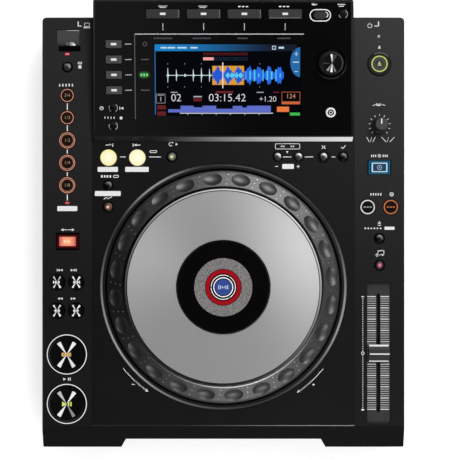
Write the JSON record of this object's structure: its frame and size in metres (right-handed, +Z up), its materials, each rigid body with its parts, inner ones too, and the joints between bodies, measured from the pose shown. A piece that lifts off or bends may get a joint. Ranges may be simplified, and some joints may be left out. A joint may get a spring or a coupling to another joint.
{
  "type": "tabletop disc player for DJs",
  "caption": "Tabletop disc player for DJs with a slot-loading drive, large jog dial, tilted screen unit, transport keys and tempo slider.",
  "frame": {"origin": "on the table, under the middle of the player's outer box", "axes": "+X to the right as the user faces it, +Y towards the back, +Z up"},
  "size_m": [0.308, 0.38, 0.1082],
  "materials": {
    "case_plastic": "fine satin black",
    "bottom_metal": "matt black paint",
    "panel_gloss": "polished black",
    "screen": "polished",
    "metal_plate": "circular brushed",
    "ring_plastic": "satin grey",
    "bezel_plastic": "semi-gloss charcoal",
    "key_black": "gloss black",
    "key_grey": "satin grey",
    "key_metal": "metallic grey",
    "key_cream": "lit translucent cream",
    "key_orange": "lit translucent orange",
    "key_pink": "lit translucent salmon",
    "key_blue": "lit translucent blue",
    "key_green": "lit translucent olive",
    "key_white": "lit translucent white",
    "inner_metal": "plain sheet",
    "steel": "plain",
    "board": "solder mask",
    "socket_plastic": "satin black",
    "rubber": "matt"
  },
  "bodies": {
    "case": {"top_case": "case_plastic", "bottom_case": "bottom_metal", "back_panel": "bottom_metal", "display_housing": "case_plastic", "display_panel": "panel_gloss", "lcd_module": "screen", "jog_bezel": "bezel_plastic", "jog_pedestal": "inner_metal", "jog_window": "panel_gloss", "rubber_feet": "rubber", "sockets": "socket_plastic", "circuit_boards": "board", "drive_chassis": "inner_metal", "case_screws": "steel"},
    "play_button": {"play_button": "key_black"},
    "cue_button": {"cue_button": "key_black"},
    "track_back_button": {"track_back_button": "key_black"},
    "track_next_button": {"track_next_button": "key_black"},
    "search_back_button": {"search_back_button": "key_black"},
    "search_next_button": {"search_next_button": "key_black"},
    "direction_button": {"direction_button": "key_pink"},
    "beat_button_1": {"beat_button_1": "key_orange"},
    "beat_button_2": {"beat_button_2": "key_orange"},
    "beat_button_3": {"beat_button_3": "key_orange"},
    "beat_button_4": {"beat_button_4": "key_orange"},
    "beat_button_5": {"beat_button_5": "key_orange"},
    "usb_stop_button": {"usb_stop_button": "key_grey"},
    "loop_in_button": {"loop_in_button": "key_cream"},
    "loop_out_button": {"loop_out_button": "key_cream"},
    "reloop_button": {"reloop_button": "key_metal"},
    "four_beat_button": {"four_beat_button": "key_grey"},
    "slip_button": {"slip_button": "key_orange"},
    "call_back_button": {"call_back_button": "key_metal"},
    "call_next_button": {"call_next_button": "key_metal"},
    "delete_button": {"delete_button": "key_grey"},
    "memory_button": {"memory_button": "key_grey"},
    "eject_button": {"eject_button": "key_green"},
    "jog_mode_button": {"jog_mode_button": "key_blue"},
    "sync_button": {"sync_button": "key_white"},
    "master_button": {"master_button": "key_orange"},
    "tempo_range_button": {"tempo_range_button": "key_grey"},
    "key_lock_button": {"key_lock_button": "key_pink"},
    "menu_keys": {"menu_keys": "key_black"},
    "source_keys": {"source_keys": "key_grey"},
    "back_button": {"back_button": "key_black"},
    "tag_button": {"tag_button": "key_grey"},
    "time_button": {"time_button": "key_grey"},
    "quantize_button": {"quantize_button": "key_grey"},
    "speed_knob": {"speed_knob": "key_black"},
    "selector_shaft": {"selector_shaft": "steel"},
    "selector_knob": {"selector_knob": "key_black"},
    "tempo_slider": {"tempo_slider": "key_grey"},
    "usb_door": {"usb_door": "key_grey"},
    "power_switch": {"power_switch": "socket_plastic"},
    "jog_ring": {"jog_ring": "ring_plastic"},
    "jog_platter": {"jog_platter": "metal_plate"},
    "loading_roller": {"loading_roller": "rubber"},
    "disc_spindle": {"disc_spindle": "steel"},
    "pickup_sled": {"pickup_sled": "socket_plastic"},
    "lead_screw": {"lead_screw": "steel"}
  },
  "joints": [
    {"name": "play_press", "type": "slide", "parent": "case", "child": "play_button", "axis": [0, 0, -1], "range_m": [0, 0.001], "stiffness_N_per_m": 300, "springref_m": -0.001},
    {"name": "cue_press", "type": "slide", "parent": "case", "child": "cue_button", "axis": [0, 0, -1], "range_m": [0, 0.001], "stiffness_N_per_m": 300, "springref_m": -0.001},
    {"name": "track_back_press", "type": "slide", "parent": "case", "child": "track_back_button", "axis": [0, 0, -1], "range_m": [0, 0.001], "stiffness_N_per_m": 300, "springref_m": -0.001},
    {"name": "track_next_press", "type": "slide", "parent": "case", "child": "track_next_button", "axis": [0, 0, -1], "range_m": [0, 0.001], "stiffness_N_per_m": 300, "springref_m": -0.001},
    {"name": "search_back_press", "type": "slide", "parent": "case", "child": "search_back_button", "axis": [0, 0, -1], "range_m": [0, 0.001], "stiffness_N_per_m": 300, "springref_m": -0.001},
    {"name": "search_next_press", "type": "slide", "parent": "case", "child": "search_next_button", "axis": [0, 0, -1], "range_m": [0, 0.001], "stiffness_N_per_m": 300, "springref_m": -0.001},
    {"name": "direction_press", "type": "slide", "parent": "case", "child": "direction_button", "axis": [0, 0, -1], "range_m": [0, 0.001], "stiffness_N_per_m": 300, "springref_m": -0.001},
    {"name": "beat_press_1", "type": "slide", "parent": "case", "child": "beat_button_1", "axis": [0, 0, -1], "range_m": [0, 0.001], "stiffness_N_per_m": 300, "springref_m": -0.001},
    {"name": "beat_press_2", "type": "slide", "parent": "case", "child": "beat_button_2", "axis": [0, 0, -1], "range_m": [0, 0.001], "stiffness_N_per_m": 300, "springref_m": -0.001},
    {"name": "beat_press_3", "type": "slide", "parent": "case", "child": "beat_button_3", "axis": [0, 0, -1], "range_m": [0, 0.001], "stiffness_N_per_m": 300, "springref_m": -0.001},
    {"name": "beat_press_4", "type": "slide", "parent": "case", "child": "beat_button_4", "axis": [0, 0, -1], "range_m": [0, 0.001], "stiffness_N_per_m": 300, "springref_m": -0.001},
    {"name": "beat_press_5", "type": "slide", "parent": "case", "child": "beat_button_5", "axis": [0, 0, -1], "range_m": [0, 0.001], "stiffness_N_per_m": 300, "springref_m": -0.001},
    {"name": "usb_stop_press", "type": "slide", "parent": "case", "child": "usb_stop_button", "axis": [0, 0, -1], "range_m": [0, 0.001], "stiffness_N_per_m": 300, "springref_m": -0.001},
    {"name": "loop_in_press", "type": "slide", "parent": "case", "child": "loop_in_button", "axis": [0, 0, -1], "range_m": [0, 0.001], "stiffness_N_per_m": 300, "springref_m": -0.001},
    {"name": "loop_out_press", "type": "slide", "parent": "case", "child": "loop_out_button", "axis": [0, 0, -1], "range_m": [0, 0.001], "stiffness_N_per_m": 300, "springref_m": -0.001},
    {"name": "reloop_press", "type": "slide", "parent": "case", "child": "reloop_button", "axis": [0, 0, -1], "range_m": [0, 0.001], "stiffness_N_per_m": 300, "springref_m": -0.001},
    {"name": "four_beat_press", "type": "slide", "parent": "case", "child": "four_beat_button", "axis": [0, 0, -1], "range_m": [0, 0.001], "stiffness_N_per_m": 300, "springref_m": -0.001},
    {"name": "slip_press", "type": "slide", "parent": "case", "child": "slip_button", "axis": [0, 0, -1], "range_m": [0, 0.001], "stiffness_N_per_m": 300, "springref_m": -0.001},
    {"name": "call_back_press", "type": "slide", "parent": "case", "child": "call_back_button", "axis": [0, 0, -1], "range_m": [0, 0.001], "stiffness_N_per_m": 300, "springref_m": -0.001},
    {"name": "call_next_press", "type": "slide", "parent": "case", "child": "call_next_button", "axis": [0, 0, -1], "range_m": [0, 0.001], "stiffness_N_per_m": 300, "springref_m": -0.001},
    {"name": "delete_press", "type": "slide", "parent": "case", "child": "delete_button", "axis": [0, 0, -1], "range_m": [0, 0.001], "stiffness_N_per_m": 300, "springref_m": -0.001},
    {"name": "memory_press", "type": "slide", "parent": "case", "child": "memory_button", "axis": [0, 0, -1], "range_m": [0, 0.001], "stiffness_N_per_m": 300, "springref_m": -0.001},
    {"name": "eject_press", "type": "slide", "parent": "case", "child": "eject_button", "axis": [0, 0, -1], "range_m": [0, 0.001], "stiffness_N_per_m": 300, "springref_m": -0.001},
    {"name": "jog_mode_press", "type": "slide", "parent": "case", "child": "jog_mode_button", "axis": [0, 0, -1], "range_m": [0, 0.001], "stiffness_N_per_m": 300, "springref_m": -0.001},
    {"name": "sync_press", "type": "slide", "parent": "case", "child": "sync_button", "axis": [0, 0, -1], "range_m": [0, 0.001], "stiffness_N_per_m": 300, "springref_m": -0.001},
    {"name": "master_press", "type": "slide", "parent": "case", "child": "master_button", "axis": [0, 0, -1], "range_m": [0, 0.001], "stiffness_N_per_m": 300, "springref_m": -0.001},
    {"name": "tempo_range_press", "type": "slide", "parent": "case", "child": "tempo_range_button", "axis": [0, 0, -1], "range_m": [0, 0.001], "stiffness_N_per_m": 300, "springref_m": -0.001},
    {"name": "key_lock_press", "type": "slide", "parent": "case", "child": "key_lock_button", "axis": [0, 0, -1], "range_m": [0, 0.001], "stiffness_N_per_m": 300, "springref_m": -0.001},
    {"name": "menu_press", "type": "slide", "parent": "case", "child": "menu_keys", "axis": [0, 0.1392, -0.9903], "range_m": [0, 0.001], "stiffness_N_per_m": 300, "springref_m": -0.001},
    {"name": "source_press", "type": "slide", "parent": "case", "child": "source_keys", "axis": [0, 0.1392, -0.9903], "range_m": [0, 0.001], "stiffness_N_per_m": 300, "springref_m": -0.001},
    {"name": "back_press", "type": "slide", "parent": "case", "child": "back_button", "axis": [0, 0.1392, -0.9903], "range_m": [0, 0.001], "stiffness_N_per_m": 300, "springref_m": -0.001},
    {"name": "tag_press", "type": "slide", "parent": "case", "child": "tag_button", "axis": [0, 0.1392, -0.9903], "range_m": [0, 0.001], "stiffness_N_per_m": 300, "springref_m": -0.001},
    {"name": "time_press", "type": "slide", "parent": "case", "child": "time_button", "axis": [0, 0.1392, -0.9903], "range_m": [0, 0.001], "stiffness_N_per_m": 300, "springref_m": -0.001},
    {"name": "quantize_press", "type": "slide", "parent": "case", "child": "quantize_button", "axis": [0, 0.1392, -0.9903], "range_m": [0, 0.001], "stiffness_N_per_m": 300, "springref_m": -0.001},
    {"name": "speed_turn", "type": "hinge", "parent": "case", "child": "speed_knob", "pos_m": [0.1328, 0.0866, 0.075], "axis": [0, 0, 1], "range_deg": [-150, 150]},
    {"name": "selector_press", "type": "slide", "parent": "case", "child": "selector_shaft", "axis": [0, 0.1392, -0.9903], "range_m": [0, 0.0006], "stiffness_N_per_m": 400, "springref_m": -0.001},
    {"name": "selector_turn", "type": "hinge", "parent": "selector_shaft", "child": "selector_knob", "pos_m": [0.0902, 0.13658, 0.09855], "axis": [0, -0.1392, 0.9903], "continuous": true},
    {"name": "tempo_slide", "type": "slide", "parent": "case", "child": "tempo_slider", "axis": [0, 1, 0], "range_m": [-0.047, 0.047]},
    {"name": "usb_door_hinge", "type": "hinge", "parent": "case", "child": "usb_door", "pos_m": [-0.1319, 0.16615, 0.0735], "axis": [-1, 0, 0], "range_deg": [0, 90]},
    {"name": "power_press", "type": "slide", "parent": "case", "child": "power_switch", "axis": [0, -1, 0], "range_m": [0, 0.003], "stiffness_N_per_m": 300, "springref_m": -0.001},
    {"name": "jog_turn", "type": "hinge", "parent": "case", "child": "jog_ring", "pos_m": [0, -0.0505, 0.075], "axis": [0, 0, 1], "continuous": true},
    {"name": "jog_press", "type": "slide", "parent": "jog_ring", "child": "jog_platter", "axis": [0, 0, -1], "range_m": [0, 0.0005], "stiffness_N_per_m": 3000, "springref_m": -0.001},
    {"name": "roller_turn", "type": "hinge", "parent": "case", "child": "loading_roller", "pos_m": [0, -0.1584, 0.0363], "axis": [1, 0, 0], "continuous": true},
    {"name": "spindle_turn", "type": "hinge", "parent": "case", "child": "disc_spindle", "pos_m": [0, -0.0904, 0.03], "axis": [0, 0, 1], "continuous": true},
    {"name": "sled_slide", "type": "slide", "parent": "case", "child": "pickup_sled", "axis": [0, 1, 0], "range_m": [0, 0.035]},
    {"name": "screw_turn", "type": "hinge", "parent": "case", "child": "lead_screw", "pos_m": [0.037, -0.0784, 0.0275], "axis": [0, 1, 0], "range_deg": [0, 4201]}
  ],
  "couplings": [
    {"joint": "screw_turn", "follows": "sled_slide", "rad_per_m": 2094.4}
  ]
}
